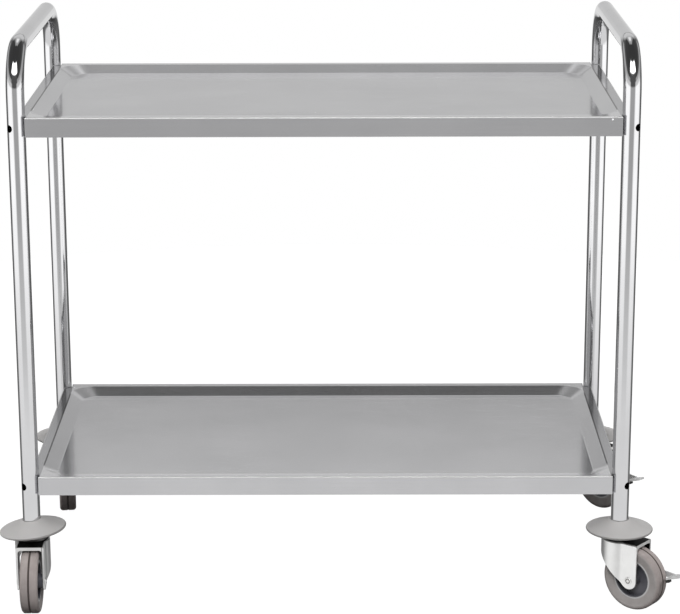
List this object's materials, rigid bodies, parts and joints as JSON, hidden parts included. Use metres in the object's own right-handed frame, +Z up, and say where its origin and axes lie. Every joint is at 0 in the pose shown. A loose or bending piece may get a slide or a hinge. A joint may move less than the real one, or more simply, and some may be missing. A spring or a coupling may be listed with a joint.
{
  "type": "two-tier serving trolley",
  "caption": "Two-tier serving trolley with bent-tube end frames, pressed steel trays and braked swivel casters with round bumpers.",
  "frame": {"origin": "on the floor, at the middle of the four posts' plan", "axes": "+X along the trolley to the braked end, +Y to the back, +Z up"},
  "size_m": [1.1082, 0.6192, 0.928],
  "materials": {
    "tube_steel": "polished stainless tube",
    "tray_steel": "fine brushed stainless sheet",
    "zinc_steel": "bright zinc plate",
    "fastener_steel": "plated steel",
    "bumper_grey": "soft grey plastic",
    "moulded_grey": "moulded plastic",
    "tyre_grey": "grey non-marking rubber",
    "core_black": "black moulded plastic",
    "pad_black": "black rubber"
  },
  "bodies": {
    "frame": {"left_end_frame": "tube_steel", "right_end_frame": "tube_steel", "leg_inserts": "moulded_grey", "upper_shelf": "tray_steel", "upper_shelf_stiffeners": "tray_steel", "upper_shelf_bolts": "fastener_steel", "upper_shelf_nuts": "fastener_steel", "lower_shelf": "tray_steel", "lower_shelf_stiffeners": "tray_steel", "lower_shelf_bolts": "fastener_steel", "lower_shelf_nuts": "fastener_steel", "front_left_bumper": "bumper_grey", "front_left_caster_stem": "fastener_steel", "front_left_swivel_race": "zinc_steel", "front_right_bumper": "bumper_grey", "front_right_caster_stem": "fastener_steel", "front_right_swivel_race": "zinc_steel", "rear_left_bumper": "bumper_grey", "rear_left_caster_stem": "fastener_steel", "rear_left_swivel_race": "zinc_steel", "rear_right_bumper": "bumper_grey", "rear_right_caster_stem": "fastener_steel", "rear_right_swivel_race": "zinc_steel"},
    "front_left_swivel": {"front_left_fork": "zinc_steel", "front_left_swivel_balls": "fastener_steel", "front_left_axle_rivet": "zinc_steel", "front_left_wheel_bush": "fastener_steel"},
    "front_left_wheel": {"front_left_wheel_core": "core_black", "front_left_tyre": "tyre_grey"},
    "front_right_swivel": {"front_right_fork": "zinc_steel", "front_right_swivel_balls": "fastener_steel", "front_right_axle_rivet": "zinc_steel", "front_right_wheel_bush": "fastener_steel", "front_right_brake_rivet": "fastener_steel"},
    "front_right_wheel": {"front_right_wheel_core": "core_black", "front_right_tyre": "tyre_grey"},
    "front_right_brake": {"front_right_brake_lever": "zinc_steel", "front_right_brake_pad": "pad_black"},
    "rear_left_swivel": {"rear_left_fork": "zinc_steel", "rear_left_swivel_balls": "fastener_steel", "rear_left_axle_rivet": "zinc_steel", "rear_left_wheel_bush": "fastener_steel"},
    "rear_left_wheel": {"rear_left_wheel_core": "core_black", "rear_left_tyre": "tyre_grey"},
    "rear_right_swivel": {"rear_right_fork": "zinc_steel", "rear_right_swivel_balls": "fastener_steel", "rear_right_axle_rivet": "zinc_steel", "rear_right_wheel_bush": "fastener_steel", "rear_right_brake_rivet": "fastener_steel"},
    "rear_right_wheel": {"rear_right_wheel_core": "core_black", "rear_right_tyre": "tyre_grey"},
    "rear_right_brake": {"rear_right_brake_lever": "zinc_steel", "rear_right_brake_pad": "pad_black"}
  },
  "joints": [
    {"name": "front_left_swivel_turn", "type": "hinge", "parent": "frame", "child": "front_left_swivel", "pos_m": [-0.477, -0.24, 0.115], "axis": [0, 0, 1], "continuous": true},
    {"name": "front_left_wheel_spin", "type": "hinge", "parent": "front_left_swivel", "child": "front_left_wheel", "pos_m": [-0.47642, -0.27299, 0.052], "axis": [0.9998, 0.0175, 0], "continuous": true},
    {"name": "front_right_swivel_turn", "type": "hinge", "parent": "frame", "child": "front_right_swivel", "pos_m": [0.477, -0.24, 0.115], "axis": [0, 0, 1], "continuous": true},
    {"name": "front_right_wheel_spin", "type": "hinge", "parent": "front_right_swivel", "child": "front_right_wheel", "pos_m": [0.503, -0.26032, 0.052], "axis": [0.6157, 0.788, 0], "continuous": true},
    {"name": "front_right_brake_press", "type": "hinge", "parent": "front_right_swivel", "child": "front_right_brake", "pos_m": [0.50773, -0.26401, 0.08], "axis": [0.6157, 0.788, 0], "range_deg": [0, 7.5]},
    {"name": "rear_left_swivel_turn", "type": "hinge", "parent": "frame", "child": "rear_left_swivel", "pos_m": [-0.477, 0.24, 0.115], "axis": [0, 0, 1], "continuous": true},
    {"name": "rear_left_wheel_spin", "type": "hinge", "parent": "rear_left_swivel", "child": "rear_left_wheel", "pos_m": [-0.47298, 0.20725, 0.052], "axis": [0.9925, 0.1219, 0], "continuous": true},
    {"name": "rear_right_swivel_turn", "type": "hinge", "parent": "frame", "child": "rear_right_swivel", "pos_m": [0.477, 0.24, 0.115], "axis": [0, 0, 1], "continuous": true},
    {"name": "rear_right_wheel_spin", "type": "hinge", "parent": "rear_right_swivel", "child": "rear_right_wheel", "pos_m": [0.50033, 0.21666, 0.052], "axis": [0.7071, 0.7071, 0], "continuous": true},
    {"name": "rear_right_brake_press", "type": "hinge", "parent": "rear_right_swivel", "child": "rear_right_brake", "pos_m": [0.50458, 0.21242, 0.08], "axis": [0.7071, 0.7071, 0], "range_deg": [0, 7.5]}
  ]
}
